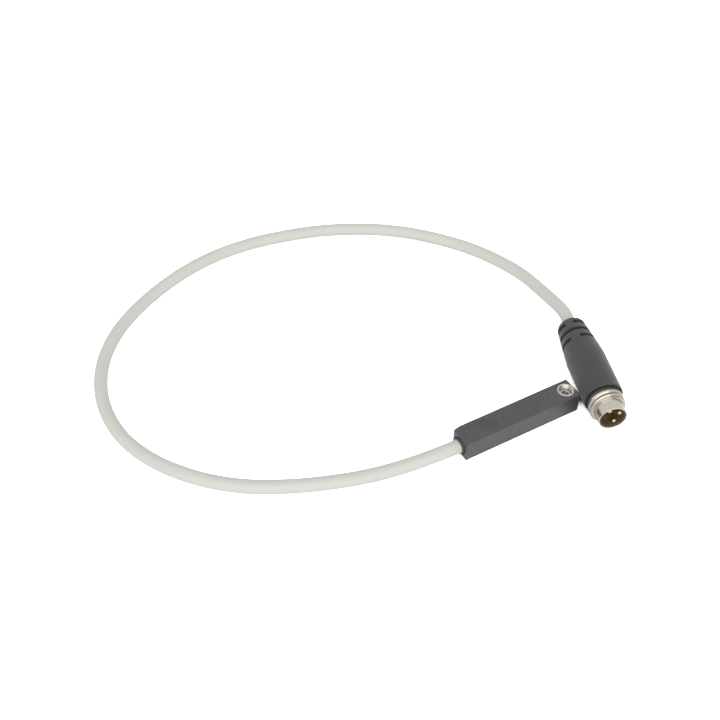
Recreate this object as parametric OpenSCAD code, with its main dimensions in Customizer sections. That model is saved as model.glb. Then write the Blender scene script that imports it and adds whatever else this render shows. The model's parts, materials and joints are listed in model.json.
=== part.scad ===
// Cylinder position sensor for a T-slot: sensor head, short lead and a three-pin M8 plug.
// Millimetres, +Z up. The origin is the centre of the sensor head's underside, +X runs
// along the head from the cable to the clamp screw. Head, lead and plug lie on z = 0.

/* [Sensor head] */
// Length of the head
head_l = 28.8; // [28:0.2:34]
// Width of the head, which fits a slot's mouth
head_w = 5.2; // [5.2:0.05:6]
// Height of the head
head_h = 5.1; // [5:0.05:5.6]
// Radius of the head's edges
head_edge_r = 0.25; // [0.1:0.05:0.35]
// Run of the bevel across the top at the cable end
bevel_run = 1.4; // [0.8:0.1:1.8]
// Drop of that bevel
bevel_drop = 0.45; // [0.3:0.05:0.8]
// Diameter of the blind bore that holds the electronics
cavity_d = 3.6; // [3.5:0.05:3.8]
// Height of the bore's axis above the underside
cavity_z = 2.2; // [2.15:0.05:2.4]
// Wall between the bore's end and the hole for the insert
cavity_end_wall = 0.9; // [0.6:0.1:1.4]
// Diameter of the wider mouth of the bore
mouth_d = 3.9; // [3.85:0.05:4.2]
// Depth of that mouth
mouth_depth = 0.45; // [0.2:0.05:0.9]

/* [Clamp screw] */
// Distance of the screw's axis from the end of the head
screw_inset = 2.05; // [2.05:0.05:3]
// Diameter of the moulded-in insert
insert_d = 3.8; // [3.6:0.02:3.84]
// Length of the insert, from the top face down
insert_l = 3.2; // [2.6:0.1:4]
// Diameter of the screw at the middle of its thread
screw_d = 2.7; // [2.6:0.05:3]
// Depth of the screw's top below the top of the head
screw_sink = 1.1; // [0.2:0.05:1.3]
// Height of the screw's tip above the underside of the head
screw_rise = 0.35; // [0.1:0.05:0.8]
// Width across flats of the hexagon socket
socket_af = 1.5; // [1.3:0.1:1.6]
// Depth of the hexagon socket
socket_depth = 1.6; // [1:0.1:2]
// Diameter of the flat tip of the screw's cone
tip_d = 1.5; // [1:0.1:2]
// Height of the screw's coned end
tip_h = 0.6; // [0.3:0.1:0.8]

/* [Indicator] */
// Diameter of the window disc
window_d = 3.3; // [3:0.1:3.6]
// Thickness of the window disc
window_t = 0.8; // [0.6:0.05:0.9]
// Distance of the window's centre from the cable end
window_at = 7.05; // [7:0.05:8]
// Diameter of the light pipe under the window
pipe_d = 1.6; // [1.2:0.1:2]
// Gap between the light pipe and the diode, filled by the resin
pipe_gap = 0.2; // [0.1:0.05:0.3]

/* [Electronics] */
// Distance of the circuit board from the bore's end
board_end_gap = 0.8; // [0.4:0.1:1.6]
// Width of the circuit board
board_w = 3.2; // [3:0.05:3.3]
// Thickness of the circuit board
board_t = 0.6; // [0.4:0.1:0.8]
// Height of the board's top above the bore's axis
board_rise = 0.3; // [0.2:0.05:0.4]
// Distance of the board from the cable end
board_inset = 5.2; // [5:0.1:5.3]
// Length of the solder pads for the wires
pad_l = 0.9; // [0.6:0.1:1]
// Length, width and height of the indicator diode
led_size = [1.6, 0.8, 0.6]; // [0.4:0.05:2]
// Length, width and height of the output driver
driver_size = [2.9, 1.3, 0.9]; // [0.6:0.05:3]
// Length, width and height of the filter capacitor
capacitor_size = [1.6, 0.8, 0.8]; // [0.4:0.05:2]
// Length, width and height of a resistor
resistor_size = [1, 0.5, 0.35]; // [0.3:0.05:1.2]
// Length, width and height of the protection diode
diode_size = [1.7, 1.25, 0.8]; // [0.6:0.05:2]
// Length, width and height of the magnetic sensor
sensor_size = [2, 1.3, 0.75]; // [0.6:0.05:2.4]
// Free board between neighbouring components
component_gap = 0.75; // [0.4:0.05:0.8]
// Distance between the centres of the two resistors
resistor_pitch = 1.2; // [0.8:0.1:1.4]

/* [Lead] */
// Diameter of the cable
cable_d = 3; // [2.9:0.02:3.04]
// Straight run of the cable behind the plug's grip
cable_lead_in = 5.1; // [3:0.1:6]
// Diameter of the collar round the cable
bushing_d = 3.5; // [3.4:0.02:3.52]
// Length that the collar stands proud of the head
bushing_out = 0.45; // [0.2:0.05:0.8]
// Depth that the collar reaches into the head
bushing_in = 2.2; // [1.5:0.1:2.4]
// Diameter of an insulated wire
wire_d = 0.72; // [0.5:0.02:0.8]
// Distance between neighbouring wires in the head
wire_pitch = 0.85; // [0.8:0.01:0.9]

/* [Plug grip] */
// Length of the grip
grip_l = 22.9; // [22:0.1:28]
// Diameter at the front of the grip
grip_front_d = 8.6; // [8.4:0.1:9.6]
// Distance behind the rim where the grip begins to taper
taper_at = 11.5; // [10.5:0.1:12.5]
// Diameter where the rounded nose begins
grip_nose_d = 6.4; // [6.2:0.1:6.8]
// Length of the rounded nose
nose_l = 0.9; // [0.6:0.1:1.1]
// Diameter of the flat at the cable end
nose_tip_d = 4.4; // [3.6:0.1:5]
// Radius of the rim at the front
rim_r = 0.25; // [0.1:0.05:0.3]
// Diameter of the recess in the front face
recess_d = 8; // [7.9:0.05:8.05]
// Depth of the recess in the front face
recess_depth = 0.4; // [0.2:0.05:0.6]

/* [Strain relief slots] */
// Rows of slots
slot_rows = 3; // [1:1:3]
// Distance between the rows
slot_pitch = 2.48; // [2:0.02:2.6]
// Width of a slot
slot_w = 0.85; // [0.4:0.05:0.95]
// Distance of the row nearest the cable from the grip's end
slot_first = 2; // [1.6:0.05:2.3]
// Diameter left at the bottom of the slots
slot_floor_d = 4.2; // [3.8:0.1:5]
// Angle that each of the two bridges of a row takes
bridge_angle = 33; // [20:1:60]

/* [Plug contacts] */
// Outer diameter of the contact sleeve
sleeve_d = 6.1; // [6:0.05:6.2]
// Wall of the contact sleeve
sleeve_wall = 0.2; // [0.15:0.05:0.3]
// Length of the sleeve in front of the grip's rim
sleeve_out = 5.85; // [5.4:0.05:6.6]
// Length of the sleeve behind the grip's rim
sleeve_in = 2.4; // [2.2:0.1:3]
// Diameter of the sleeve's flange, held in the grip
flange_d = 7.2; // [6.8:0.1:7.4]
// Thickness of that flange
flange_t = 0.7; // [0.5:0.05:0.9]
// Distance of the flange's front from the grip's rim
flange_at = 0.9; // [0.8:0.05:1.1]
// Height of the bead that keeps the coupling ring on the sleeve
bead_h = 0.2; // [0.1:0.05:0.25]
// Width of that bead
bead_w = 0.35; // [0.25:0.05:0.4]
// Chamfer on the rim of the sleeve
sleeve_chamfer = 0.06; // [0.02:0.02:0.1]
// Distance of the carrier's face behind the sleeve's rim
carrier_sink = 4.5; // [4:0.1:4.9]
// Wall of the carrier's skirt, which lines the sleeve
skirt_wall = 0.25; // [0.15:0.05:0.35]
// Distance of the skirt's end behind the sleeve's rim
skirt_sink = 0.2; // [0.1:0.05:0.5]
// Diameter of a contact pin
pin_d = 1; // [0.9:0.05:1.1]
// Diameter of the circle that the pins stand on
pin_circle_d = 3.5; // [3.3:0.05:3.7]
// Distance of the pin tips behind the sleeve's rim
pin_sink = 0.48; // [0.3:0.02:0.8]
// Radius of the rounded pin tips
pin_tip_r = 0.3; // [0.1:0.05:0.4]
// Length of a pin behind the grip's rim
pin_in = 6; // [5:0.5:7]
// Diameter of the shoulder that stops a pin in the carrier
shoulder_d = 1.3; // [1.2:0.05:1.4]
// Length of that shoulder
shoulder_l = 1.6; // [1:0.1:2]
// Width of the key rib
key_w = 0.8; // [0.5:0.1:1]
// Height of the key rib, from the sleeve's wall inwards
key_h = 0.6; // [0.3:0.1:0.7]
// Distance of the key rib's end behind the sleeve's rim
key_sink = 1.4; // [1:0.1:2.5]

/* [Coupling ring] */
// Major diameter of the ring's thread
thread_d = 7.7; // [7.6:0.05:7.8]
// Diameter of the ring's rear flange
ring_flange_d = 7.8; // [7.8:0.05:8]
// Thickness of the ring's rear flange
ring_flange_t = 0.4; // [0.3:0.05:0.5]
// Distance of the ring's rear face from the grip's rim
ring_at = 1.13; // [1.1:0.01:1.3]
// Length of the ring
ring_l = 1.97; // [1.8:0.01:2.1]
// Thickness of the ring's web, which runs on the sleeve
web_t = 0.95; // [0.7:0.05:1]
// Chamfer at the front of the thread
ring_chamfer = 0.15; // [0.05:0.05:0.25]
// Thickness of the seal ring's round section
seal_t = 0.8; // [0.7:0.02:0.82]
// Gap between the seal ring and the coupling ring
seal_gap = 0.12; // [0.08:0.02:0.2]

/* [Inner mould] */
// Distance of the inner mould's rear from the grip's rim
mould_rear = 14; // [12:0.5:14.5]
// Diameter of the inner mould at its front
mould_front_d = 6.3; // [6.1:0.1:6.5]
// Diameter of the inner mould at its rear
mould_rear_d = 5.2; // [4.6:0.1:5.4]
// Distance of a wire's centre from the cable's axis where the jacket ends
wire_spread = 0.85; // [0.7:0.05:0.9]

/* [Place of the plug] */
// Place of the grip's rim along the head
plug_x = 18.4; // [18:0.1:22]
// Place of the grip's rim across the head
plug_y = -5.4; // [-9:0.1:-5]
// Heading of the plug's open end
plug_yaw = -109.6; // [-116:0.1:-102]
// Turn of the plug about its own axis
plug_roll = 24.5; // [0:0.5:360]

/* [Hidden] */
$fn = 64;

// Radial gap of moulded and pushed fits, and of turning fits
fit_gap = 0.02;
running_gap = 0.05;
// Overshoot of a cut past the face that it opens
past = 1;

// Derived places along the head
cable_end_x = -head_l / 2;
screw_x = head_l / 2 - screw_inset;
insert_hole_r = insert_d / 2 + fit_gap;
screw_bore_r = screw_d / 2 + running_gap;
cavity_end_x = screw_x - insert_hole_r - cavity_end_wall;
jacket_end_x = cable_end_x + bushing_in;
window_x = cable_end_x + window_at;
window_floor_z = head_h - window_t;
screw_l = head_h - screw_sink - screw_rise;
board_x = cable_end_x + board_inset;
board_l = cavity_end_x - board_end_gap - board_x;
board_top_z = cavity_z + board_rise;
board_under_z = board_top_z - board_t;
cable_bore_r = cable_d / 2 + fit_gap;

// Derived places of the components along the board
driver_x = window_x + led_size.x / 2 + component_gap + driver_size.x / 2;
capacitor_x = driver_x + driver_size.x / 2 + component_gap + capacitor_size.x / 2;
resistor_x = capacitor_x + capacitor_size.x / 2 + component_gap + resistor_size.x / 2;
diode_x = resistor_x + resistor_size.x / 2 + component_gap + diode_size.x / 2;
sensor_x = resistor_x;

// Derived sizes of the plug, along its own axis from the grip's rim towards the open end
sleeve_r = sleeve_d / 2;
sleeve_bore_r = sleeve_r - sleeve_wall;
carrier_face = sleeve_out - carrier_sink;
web_front = ring_at + web_t;
ring_front = ring_at + ring_l;
bead_back = web_front + running_gap;
seal_centre = ring_at - seal_gap - seal_t / 2;
pin_angles = [180, 0, 90];
key_angle = 270;

// Place and radius on the grip's taper, by the share of its length from the even part to the nose
taper_power = 1.15;
taper_l = grip_l - nose_l - taper_at;
function taper_point(share) = [
    -taper_at - taper_l * share,
    grip_front_d / 2 - (grip_front_d - grip_nose_d) / 2 * pow(share, taper_power)
];
// Radius of the rounded nose at a share of its length
nose_power = 1.5;
function nose_r(share) =
    nose_tip_d / 2 + (grip_nose_d - nose_tip_d) / 2 * sqrt(1 - pow(share, nose_power));
taper_steps = 9;
nose_steps = 12;
rim_steps = 5;
// Outline of the grip as [distance from the rim, radius], from the nose to the front
grip_outline = concat(
    [for (i = [nose_steps : -1 : 1]) [nose_l * (1 - i / nose_steps) - grip_l, nose_r(i / nose_steps)]],
    [for (i = [taper_steps : -1 : 0]) taper_point(i / taper_steps)],
    [for (i = [0 : rim_steps])
        let (turn = 90 * i / rim_steps)
        [rim_r * (sin(turn) - 1), grip_front_d / 2 - rim_r * (1 - cos(turn))]]
);

// The plug lies level, on the even part of its grip, on the same surface as the head
plug_z = grip_front_d / 2;
function plug_point(along) =
    [plug_x + along * cos(plug_yaw), plug_y + along * sin(plug_yaw), plug_z];

// Middle line of the free cable as [x, y, rise above its height when it lies on the surface]
free_route = [
    [-19, 0.2, 0.65], [-26, 1.1, 0.2], [-33.8, 2.6, 0], [-41.4, 4.9, 0], [-48.8, 7.9, 0],
    [-55.9, 11.7, 0], [-62.2, 16.6, 0], [-67.5, 22.6, 0], [-71.6, 29.4, 0], [-74.1, 37, 0],
    [-74.6, 45, 0], [-73.2, 52.8, 0], [-70, 60.1, 0], [-65.2, 66.5, 0], [-59.2, 71.7, 0],
    [-52.4, 75.9, 0], [-45.1, 79.2, 0], [-37.4, 81.5, 0], [-29.6, 82.5, 0], [-21.6, 82.2, 0],
    [-13.8, 80.8, 0], [-6.1, 78.6, 0], [1.2, 75.4, 0], [8, 71.3, 0], [14.1, 66.2, 0],
    [19.4, 60.2, 0], [23.9, 53.4, 0.1], [26.9, 46, 0.4], [28.5, 38.2, 1], [28.6, 30.2, 1.7],
];
// Whole middle line: out of the head, round on the surface, into the plug
route = concat(
    [[jacket_end_x, 0, cavity_z], [cable_end_x - bushing_out, 0, cavity_z]],
    [for (p = free_route) [p.x, p.y, cable_d / 2 + p.z]],
    [for (along = [-grip_l - cable_lead_in, -grip_l, -mould_rear]) plug_point(along)]
);
cable_sides = 8;

// Rounded rectangle about the origin, kept exact
module rounded_rectangle(w, h, r) {
    square([w - 2 * r, h], center = true);
    square([w, h - 2 * r], center = true);
    for (x = [-1, 1], y = [-1, 1])
        translate([x * (w / 2 - r), y * (h / 2 - r)])
            circle(r);
}

// Solid turned about the plug's axis from an outline of [distance along, radius] points
module turned(outline) {
    rotate_extrude()
        polygon([for (p = outline) [p[1], p[0]]]);
}

// Round bar along +X from x0 to x1
module bar_x(d, x0, x1, z) {
    translate([x0, 0, z])
        rotate([0, 90, 0])
            cylinder(d = d, h = x1 - x0);
}

// Takes what is drawn along +Z to the plug's place, with the first pin's side at plug_roll
module on_plug() {
    translate([plug_x, plug_y, plug_z])
        rotate([0, 90, plug_yaw])
            rotate([0, 0, plug_roll])
                children();
}

// Tube swept along a route: each ring stands across the mean of its two neighbours' directions
function unit(v) = v / norm(v);
function heading(path, i) =
    unit(path[min(i + 1, len(path) - 1)] - path[max(i - 1, 0)]);
function ring(path, i, r, sides) =
    let (along = heading(path, i), side = unit(cross(along, [0, 0, 1])), up = cross(side, along))
    [for (k = [0 : sides - 1])
        let (turn = 360 * k / sides)
        path[i] + r * cos(turn) * side + r * sin(turn) * up];
module swept_tube(path, d, sides) {
    last = len(path) - 1;
    points = [for (i = [0 : last]) each ring(path, i, d / 2, sides)];
    walls = [
        for (i = [0 : last - 1], k = [0 : sides - 1])
            let (a = i * sides + k, b = i * sides + (k + 1) % sides)
            each [[a, b, b + sides], [a, b + sides, a + sides]]
    ];
    caps = [
        [for (k = [sides - 1 : -1 : 0]) k],
        [for (k = [0 : sides - 1]) last * sides + k],
    ];
    polyhedron(points, concat(walls, caps));
}

// Component on the board: a block centred at x, y, standing on the board's top
module on_board(size, x, y = 0) {
    translate([x - size.x / 2, y - size.y / 2, board_top_z])
        cube(size);
}

// Sensor head
module head_housing() {
    color("#58565a")
        difference() {
            intersection() {
                translate([cable_end_x, 0, head_h / 2])
                    rotate([90, 0, 90])
                        linear_extrude(head_l)
                            rounded_rectangle(head_w, head_h, head_edge_r);
                translate([0, head_w / 2, head_h / 2])
                    rotate([90, 0, 0])
                        linear_extrude(head_w)
                            rounded_rectangle(head_l, head_h, head_edge_r);
                linear_extrude(head_h)
                    rounded_rectangle(head_l, head_w, head_edge_r);
            }
            bevel_cut();
            bar_x(cavity_d, cable_end_x - past, cavity_end_x, cavity_z);
            bar_x(mouth_d, cable_end_x - past, cable_end_x + mouth_depth, cavity_z);
            translate([window_x, 0, window_floor_z])
                cylinder(d = window_d + 2 * fit_gap, h = window_t + past);
            translate([window_x, 0, cavity_z])
                cylinder(d = pipe_d + 2 * fit_gap, h = head_h - cavity_z);
            translate([screw_x, 0, head_h - insert_l])
                cylinder(r = insert_hole_r, h = insert_l + past);
            translate([screw_x, 0, -past])
                cylinder(r = screw_bore_r + running_gap, h = head_h);
        }
}

// Wedge cut off the top edge at the cable end
module bevel_cut() {
    translate([0, head_w / 2 + past, 0])
        rotate([90, 0, 0])
            linear_extrude(head_w + 2 * past)
                polygon([
                    [cable_end_x, head_h - bevel_drop],
                    [cable_end_x + bevel_run, head_h],
                    [cable_end_x + bevel_run, head_h + past],
                    [cable_end_x - past, head_h + past],
                    [cable_end_x - past, head_h - bevel_drop],
                ]);
}

// Window disc with the light pipe below it
module window_solid() {
    pipe_z = board_top_z + led_size.z + pipe_gap;
    translate([window_x, 0, window_floor_z])
        cylinder(d = window_d, h = window_t);
    translate([window_x, 0, pipe_z])
        cylinder(d = pipe_d, h = window_floor_z - pipe_z);
}

module indicator_window() {
    color("#6a6960")
        window_solid();
}

module cable_bushing() {
    color("#55554f")
        difference() {
            bar_x(bushing_d, cable_end_x - bushing_out, jacket_end_x, cavity_z);
            bar_x(2 * cable_bore_r, cable_end_x - bushing_out - past, jacket_end_x + past, cavity_z);
        }
}

module threaded_insert() {
    color("#c9c4b8")
        translate([screw_x, 0, head_h - insert_l])
            difference() {
                cylinder(d = insert_d, h = insert_l);
                translate([0, 0, -past])
                    cylinder(r = screw_bore_r, h = insert_l + 2 * past);
            }
}

module clamp_screw() {
    socket_d = socket_af / cos(30);
    color("#b8b4aa")
        translate([screw_x, 0, head_h - screw_sink - screw_l])
            difference() {
                union() {
                    cylinder(d1 = tip_d, d2 = screw_d, h = tip_h);
                    translate([0, 0, tip_h])
                        cylinder(d = screw_d, h = screw_l - tip_h);
                }
                translate([0, 0, screw_l - socket_depth])
                    cylinder(d = socket_d, h = socket_depth + past, $fn = 6);
            }
}

// Electronics in the head
module circuit_board() {
    color("#2f6b45")
        translate([board_x, -board_w / 2, board_under_z])
            cube([board_l, board_w, board_t]);
}

module indicator_led() {
    color("#e8d9a0")
        on_board(led_size, window_x);
}

module output_driver_chip() {
    color("#26262a")
        on_board(driver_size, driver_x);
}

module filter_capacitor() {
    color("#a98358")
        on_board(capacitor_size, capacitor_x);
}

module resistor(side) {
    color("#2b2b2e")
        on_board(resistor_size, resistor_x, side * resistor_pitch / 2);
}

module protection_diode() {
    color("#26262a")
        on_board(diode_size, diode_x);
}

module magnetic_sensor_chip() {
    color("#26262a")
        translate([sensor_x - sensor_size.x / 2, -sensor_size.y / 2, board_under_z - sensor_size.z])
            cube(sensor_size);
}

module potting() {
    color("#3b3a34")
        difference() {
            bar_x(cavity_d - 2 * fit_gap, jacket_end_x, cavity_end_x, cavity_z);
            circuit_board();
            indicator_led();
            output_driver_chip();
            filter_capacitor();
            resistor(-1);
            resistor(1);
            protection_diode();
            magnetic_sensor_chip();
            window_solid();
            for (place = [-1 : 1])
                wire_in_head(place);
        }
}

// Lead
module cable_jacket() {
    color("#d5d7d0")
        swept_tube(route, cable_d, cable_sides);
}

// End of a wire in the head, from the jacket to its pad; place is -1, 0 or 1 across the board
module wire_in_head(place) {
    translate([0, place * wire_pitch, 0])
        bar_x(wire_d, jacket_end_x, board_x + pad_l, board_top_z + wire_d / 2);
}

// End of a wire in the plug, from the jacket out to the tail of its pin
module wire_in_plug(angle) {
    rise = pin_circle_d / 2 - wire_spread;
    run = mould_rear - pin_in;
    on_plug()
        rotate([0, 0, angle])
            intersection() {
                translate([wire_spread, 0, -mould_rear])
                    rotate([0, atan2(rise, run), 0])
                        translate([0, 0, -past])
                            cylinder(d = wire_d, h = run + 2 * past + rise);
                translate([-wire_d, -wire_d, -mould_rear])
                    cube([pin_circle_d + wire_d, 2 * wire_d, run]);
            }
}

module wire(place, angle) {
    wire_in_head(place);
    wire_in_plug(angle);
}

// Plug
module plug_grip() {
    color("#5a595c")
        on_plug()
            difference() {
                turned(concat([[-grip_l, 0]], grip_outline, [[0, 0]]));
                grip_bore();
                for (row = [0 : slot_rows - 1])
                    translate([0, 0, slot_first - grip_l + row * slot_pitch])
                        slot_row(90 * (row % 2));
            }
}

// Stepped bore of the grip, which closes round the cable, the inner mould and the sleeve
module grip_bore() {
    turned([
        [-grip_l - past, 0],
        [-grip_l - past, cable_bore_r],
        [-mould_rear - fit_gap, cable_bore_r],
        [-mould_rear - fit_gap, mould_rear_d / 2 + fit_gap],
        [-sleeve_in, mould_front_d / 2 + fit_gap],
        [-flange_at - flange_t - fit_gap, sleeve_r + fit_gap],
        [-flange_at - flange_t - fit_gap, flange_d / 2 + fit_gap],
        [-flange_at + fit_gap, flange_d / 2 + fit_gap],
        [-flange_at + fit_gap, sleeve_r + fit_gap],
        [-recess_depth, sleeve_r + fit_gap],
        [-recess_depth, recess_d / 2],
        [past, recess_d / 2],
        [past, 0],
    ]);
}

// Two slots round the grip with a bridge at first_bridge and another opposite
module slot_row(first_bridge) {
    for (half = [0, 180])
        rotate([0, 0, first_bridge + half + bridge_angle / 2])
            rotate_extrude(angle = 180 - bridge_angle)
                translate([slot_floor_d / 2, -slot_w / 2])
                    square([grip_front_d, slot_w]);
}

module inner_mould() {
    color("#33322f")
        difference() {
            on_plug()
                difference() {
                    turned([
                        [-mould_rear, 0],
                        [-mould_rear, mould_rear_d / 2],
                        [-sleeve_in, mould_front_d / 2],
                        [-sleeve_in, 0],
                    ]);
                    for (angle = pin_angles)
                        pin_solid(angle, 0);
                }
            for (angle = pin_angles)
                wire_in_plug(angle);
        }
}

// Pin turned about its own axis, grown all round by a gap where it is used as a cut
module pin_solid(angle, gap) {
    tip = sleeve_out - pin_sink;
    r = pin_d / 2 + gap;
    rotate([0, 0, angle])
        translate([pin_circle_d / 2, 0, 0])
            turned([
                [-pin_in, 0],
                [-pin_in, r],
                [-sleeve_in - gap, r],
                [-sleeve_in - gap, shoulder_d / 2 + gap],
                [-sleeve_in + shoulder_l + gap, shoulder_d / 2 + gap],
                [-sleeve_in + shoulder_l + gap, r],
                for (turn = [0 : 45 : 90])
                    [tip + pin_tip_r * (sin(turn) - 1), r + pin_tip_r * (cos(turn) - 1)],
                [tip, 0],
            ]);
}

module contact_pin(angle) {
    color("#d8c48a")
        on_plug()
            pin_solid(angle, 0);
}

module contact_carrier() {
    carrier_r = sleeve_bore_r - fit_gap;
    color("#46372a")
        on_plug()
            difference() {
                union() {
                    translate([0, 0, -sleeve_in])
                        cylinder(r = carrier_r, h = sleeve_in + carrier_face);
                    turned([
                        [carrier_face, carrier_r - skirt_wall],
                        [carrier_face, carrier_r],
                        [sleeve_out - skirt_sink, carrier_r],
                        [sleeve_out - skirt_sink, carrier_r - skirt_wall],
                    ]);
                    intersection() {
                        translate([0, 0, -sleeve_in])
                            cylinder(r = carrier_r, h = sleeve_in + sleeve_out - key_sink);
                        rotate([0, 0, key_angle])
                            translate([carrier_r - key_h, -key_w / 2, 0])
                                cube([sleeve_d, key_w, sleeve_out]);
                    }
                }
                for (angle = pin_angles)
                    pin_solid(angle, fit_gap);
            }
}

module contact_sleeve() {
    color("#cfccc4")
        on_plug()
            turned([
                [-sleeve_in, sleeve_bore_r],
                [-sleeve_in, sleeve_r],
                [-flange_at - flange_t, sleeve_r],
                [-flange_at - flange_t, flange_d / 2],
                [-flange_at, flange_d / 2],
                [-flange_at, sleeve_r],
                [bead_back, sleeve_r],
                [bead_back, sleeve_r + bead_h],
                [bead_back + bead_w / 2, sleeve_r + bead_h],
                [bead_back + bead_w, sleeve_r],
                [sleeve_out - sleeve_chamfer, sleeve_r],
                [sleeve_out, sleeve_r - sleeve_chamfer],
                [sleeve_out, sleeve_bore_r],
            ]);
}

// Threaded ring, snapped over the sleeve's bead, which runs in a groove in its bore
module coupling_ring() {
    bore_r = sleeve_r + running_gap;
    groove_r = bore_r + bead_h;
    groove_front = bead_back + bead_w + running_gap;
    color("#d2cfc7")
        on_plug()
            turned([
                [ring_at, bore_r],
                [ring_at, ring_flange_d / 2],
                [ring_at + ring_flange_t, ring_flange_d / 2],
                [ring_at + ring_flange_t, thread_d / 2],
                [ring_front - ring_chamfer, thread_d / 2],
                [ring_front, thread_d / 2 - ring_chamfer],
                [ring_front, bore_r],
                [groove_front, bore_r],
                [groove_front, groove_r],
                [web_front, groove_r],
                [web_front, bore_r],
            ]);
}

module seal_ring() {
    color("#454340")
        on_plug()
            translate([0, 0, seal_centre])
                rotate_extrude()
                    translate([sleeve_r + fit_gap + seal_t / 2, 0])
                        circle(d = seal_t);
}

head_housing();
indicator_window();
cable_bushing();
threaded_insert();
clamp_screw();
circuit_board();
indicator_led();
magnetic_sensor_chip();
output_driver_chip();
filter_capacitor();
resistor(-1);  // resistor_1
resistor(1);  // resistor_2
protection_diode();
potting();
cable_jacket();
color("#6b4a2f") wire(-1, pin_angles[0]);  // wire_brown
color("#2f55a0") wire(1, pin_angles[1]);  // wire_blue
color("#232326") wire(0, pin_angles[2]);  // wire_black
plug_grip();
inner_mould();
contact_carrier();
contact_sleeve();
coupling_ring();
seal_ring();
contact_pin(pin_angles[0]);  // contact_pin_1
contact_pin(pin_angles[1]);  // contact_pin_3
contact_pin(pin_angles[2]);  // contact_pin_4
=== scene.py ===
import json
import math

import bmesh
import bpy
from mathutils import Matrix, Vector


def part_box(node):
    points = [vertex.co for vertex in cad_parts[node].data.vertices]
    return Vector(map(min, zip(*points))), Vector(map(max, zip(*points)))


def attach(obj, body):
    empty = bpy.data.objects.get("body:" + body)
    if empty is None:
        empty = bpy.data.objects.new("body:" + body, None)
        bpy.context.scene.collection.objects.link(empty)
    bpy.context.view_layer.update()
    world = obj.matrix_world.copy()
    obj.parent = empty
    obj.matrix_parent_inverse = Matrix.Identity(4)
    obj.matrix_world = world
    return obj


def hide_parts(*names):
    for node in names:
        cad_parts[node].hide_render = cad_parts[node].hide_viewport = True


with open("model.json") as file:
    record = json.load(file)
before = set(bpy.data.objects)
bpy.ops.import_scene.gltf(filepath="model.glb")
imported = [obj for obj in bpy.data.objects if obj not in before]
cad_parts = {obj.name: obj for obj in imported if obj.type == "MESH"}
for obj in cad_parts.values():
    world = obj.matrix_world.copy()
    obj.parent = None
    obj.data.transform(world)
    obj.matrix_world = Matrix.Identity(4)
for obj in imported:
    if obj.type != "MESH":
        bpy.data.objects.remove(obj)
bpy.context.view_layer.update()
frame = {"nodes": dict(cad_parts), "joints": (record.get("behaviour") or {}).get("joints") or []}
nodes = frame["nodes"]
mm = 0.001
print("frame loaded:", len(nodes), "nodes")


# Adds one node: inputs maps a socket's name or number to a value, a node or a socket to link from
def addNode(tree, kind, inputs=None, **settings):
    node = tree.nodes.new(kind)
    for name, value in settings.items():
        setattr(node, name, value)
    for key, value in (inputs or {}).items():
        if isinstance(value, bpy.types.Node):
            value = value.outputs[0]
        if isinstance(value, bpy.types.NodeSocket):
            tree.links.new(value, node.inputs[key])
        else:
            node.inputs[key].default_value = value
    return node


def linkObject(name, data):
    thing = bpy.data.objects.new(name, data)
    bpy.context.scene.collection.objects.link(thing)
    return thing


# Camera, in millimetres in the part's frame
cameraView = {
    "place": (-99.95, -110.24, 164.5),
    "target": (-18.95, 33.79, 0),
    "fieldOfView": 38.52,  # degrees across the square picture
}


def makeCamera():
    data = bpy.data.cameras.new("photoCamera")
    data.angle = math.radians(cameraView["fieldOfView"])
    data.clip_start = 0.01
    camera = linkObject("photoCamera", data)
    camera.location = Vector(cameraView["place"]) * mm
    looking = (Vector(cameraView["target"]) - Vector(cameraView["place"])).to_track_quat("-Z", "Y")
    camera.rotation_euler = looking.to_euler()
    bpy.context.scene.camera = camera


makeCamera()
print("camera placed")

# Lead: round sheath along the same route as the solid's, in metres
lead = {
    "diameter": 0.003,
    "sides": 32,
    "ringStep": 0.0012,  # between neighbouring rings
    "length": 0.26,
    "exit": (-0.01485, 0, 0.0022),
    "route": [
        (-0.0122, 0, 0.0022), (-0.01485, 0, 0.0022), (-0.019, 0.0002, 0.00215), (-0.026, 0.0011, 0.0017),
        (-0.0338, 0.0026, 0.0015), (-0.0414, 0.0049, 0.0015), (-0.0488, 0.0079, 0.0015),
        (-0.0559, 0.0117, 0.0015), (-0.0622, 0.0166, 0.0015), (-0.0675, 0.0226, 0.0015),
        (-0.0716, 0.0294, 0.0015), (-0.0741, 0.037, 0.0015), (-0.0746, 0.045, 0.0015),
        (-0.0732, 0.0528, 0.0015), (-0.07, 0.0601, 0.0015), (-0.0652, 0.0665, 0.0015),
        (-0.0592, 0.0717, 0.0015), (-0.0524, 0.0759, 0.0015), (-0.0451, 0.0792, 0.0015),
        (-0.0374, 0.0815, 0.0015), (-0.0296, 0.0825, 0.0015), (-0.0216, 0.0822, 0.0015),
        (-0.0138, 0.0808, 0.0015), (-0.0061, 0.0786, 0.0015), (0.0012, 0.0754, 0.0015),
        (0.008, 0.0713, 0.0015), (0.0141, 0.0662, 0.0015), (0.0194, 0.0602, 0.0015),
        (0.0239, 0.0534, 0.0016), (0.0269, 0.046, 0.0019), (0.0285, 0.0382, 0.0025),
        (0.0286, 0.0302, 0.0032), (0.02779, 0.02098, 0.0043), (0.02608, 0.01617, 0.0043),
        (0.0231, 0.00779, 0.0043),
    ],
}


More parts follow.
